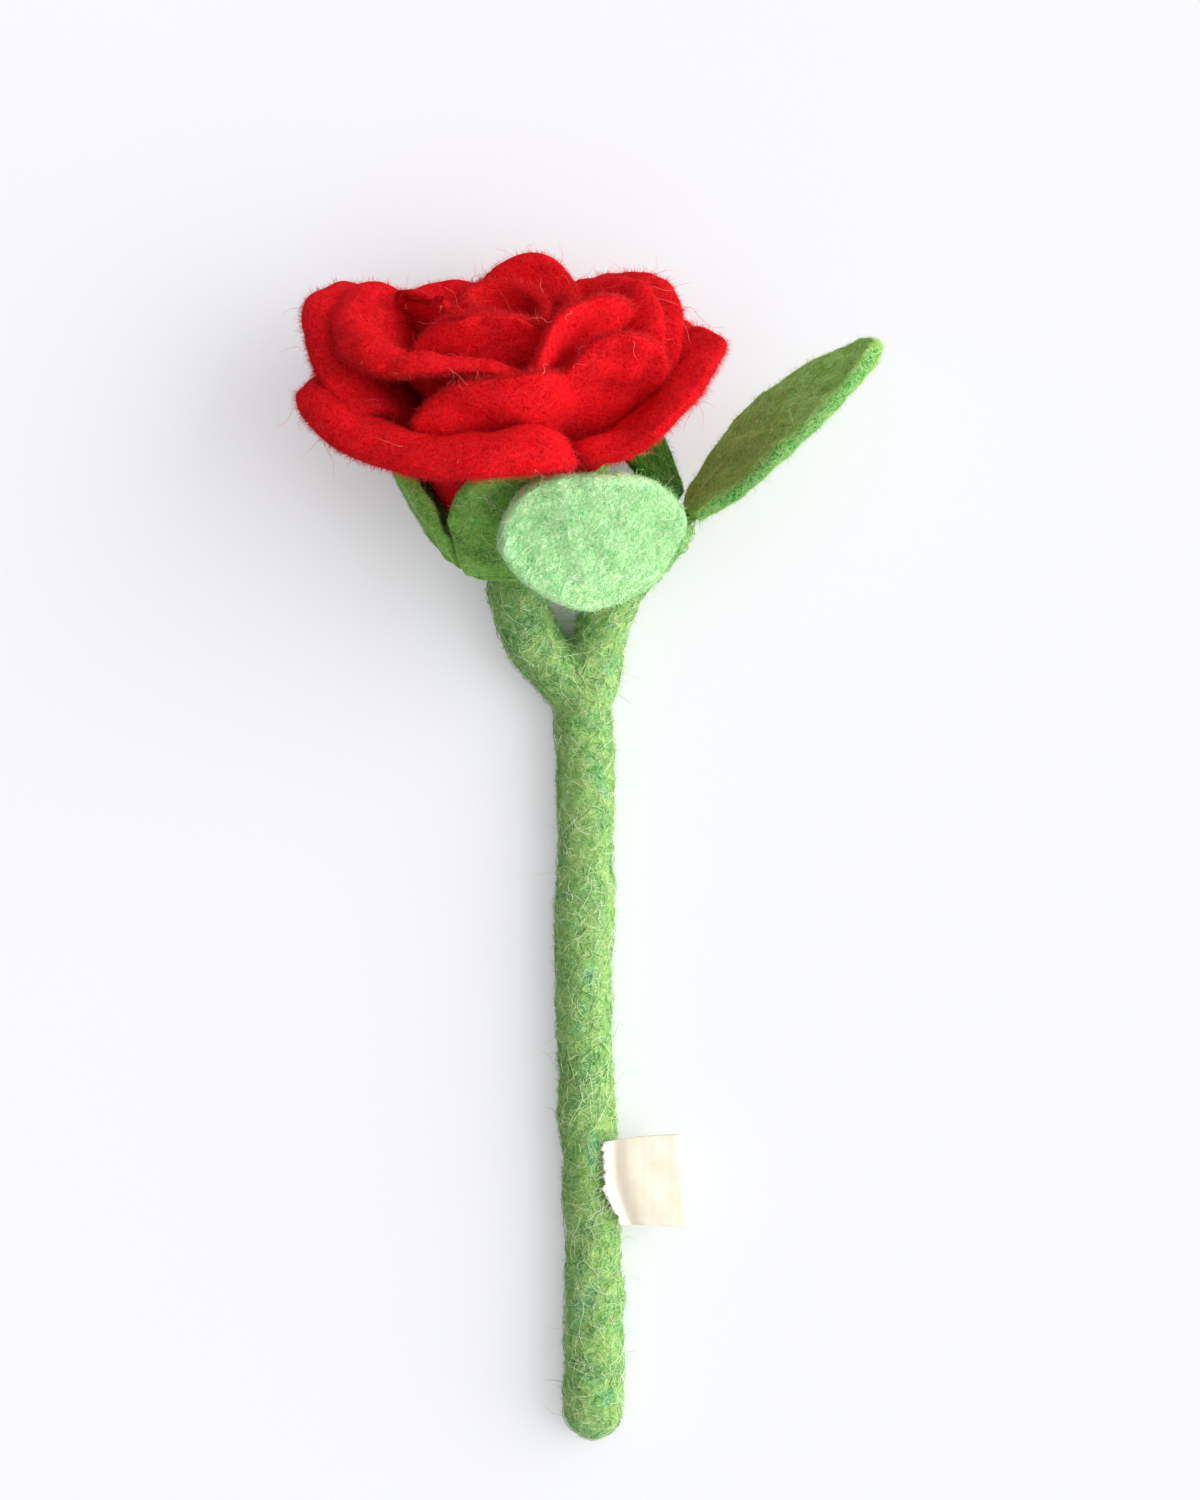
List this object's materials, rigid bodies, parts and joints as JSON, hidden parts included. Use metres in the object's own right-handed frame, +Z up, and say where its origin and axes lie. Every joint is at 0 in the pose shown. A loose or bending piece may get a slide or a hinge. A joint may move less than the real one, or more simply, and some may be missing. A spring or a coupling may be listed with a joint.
{
  "type": "felt rose",
  "caption": "Felted wool rose lying on its side: layered petals round a rolled bud on one branch of a wired stem, leaflets on the other, a folded ribbon label sewn to the stem.",
  "frame": {"origin": "on the underside of the stem, halfway along its straight length, where it lies on the table", "axes": "+X to the right, +Y along the stem towards the bloom, +Z up from the table"},
  "size_m": [0.1198, 0.2433, 0.0594],
  "materials": {
    "petal_felt": "matt wool felt with loose fibres",
    "leaf_felt": "matt wool felt with loose fibres",
    "stem_felt": "mottled wet-felted wool",
    "ribbon": "satin ribbon",
    "wire": "plain wire"
  },
  "bodies": {
    "stem": {"stem_felt": "stem_felt", "stem_wire": "wire", "leaf_wire": "wire"},
    "head": {"flower_wire": "wire", "calyx_disc": "leaf_felt", "bloom_core": "petal_felt", "bud_roll": "petal_felt", "petal_inner_right": "petal_felt", "petal_inner_front": "petal_felt", "petal_inner_left": "petal_felt", "petal_inner_back": "petal_felt", "petal_middle_right": "petal_felt", "petal_middle_left": "petal_felt", "petal_middle_back": "petal_felt", "petal_middle_back_right": "petal_felt", "petal_upright_front": "petal_felt", "petal_upright_left": "petal_felt", "petal_upright_back": "petal_felt", "petal_upright_right": "petal_felt", "petal_flared_front": "petal_felt", "petal_flared_right": "petal_felt", "petal_flared_back_left": "petal_felt", "petal_flared_back_right": "petal_felt", "sepal_left": "leaf_felt", "sepal_front": "leaf_felt", "sepal_right": "leaf_felt", "sepal_back_right": "leaf_felt", "sepal_back_left": "leaf_felt"},
    "front_leaflet": {"leaf_front": "leaf_felt"},
    "right_leaflet": {"leaf_right": "leaf_felt"},
    "back_leaflet": {"leaf_back": "leaf_felt"},
    "ribbon_label": {"label": "ribbon"}
  },
  "joints": [
    {"name": "head_sway", "type": "hinge", "parent": "stem", "child": "head", "pos_m": [-0.015, 0.1036, 0.009], "axis": [0, 0, 1], "range_deg": [0, 30]},
    {"name": "front_leaflet_bend", "type": "hinge", "parent": "stem", "child": "front_leaflet", "pos_m": [0.01827, 0.11108, 0.02177], "axis": [0.3578, 0.8594, 0.3651], "range_deg": [0, 35], "stiffness_Nm_per_rad": 0.012},
    {"name": "right_leaflet_bend", "type": "hinge", "parent": "stem", "child": "right_leaflet", "pos_m": [0.02114, 0.11764, 0.01608], "axis": [0.2437, -0.4317, 0.8685], "range_deg": [-20, 15], "stiffness_Nm_per_rad": 0.012},
    {"name": "back_leaflet_bend", "type": "hinge", "parent": "stem", "child": "back_leaflet", "pos_m": [0.01701, 0.12015, 0.01394], "axis": [0.5021, 0.0557, -0.863], "range_deg": [-5, 10], "stiffness_Nm_per_rad": 0.012},
    {"name": "label_flap", "type": "hinge", "parent": "stem", "child": "ribbon_label", "pos_m": [0.00438, -0.0205, 0.01115], "axis": [0.1219, -0.9925, 0], "range_deg": [-15, 70], "stiffness_Nm_per_rad": 0.002}
  ]
}
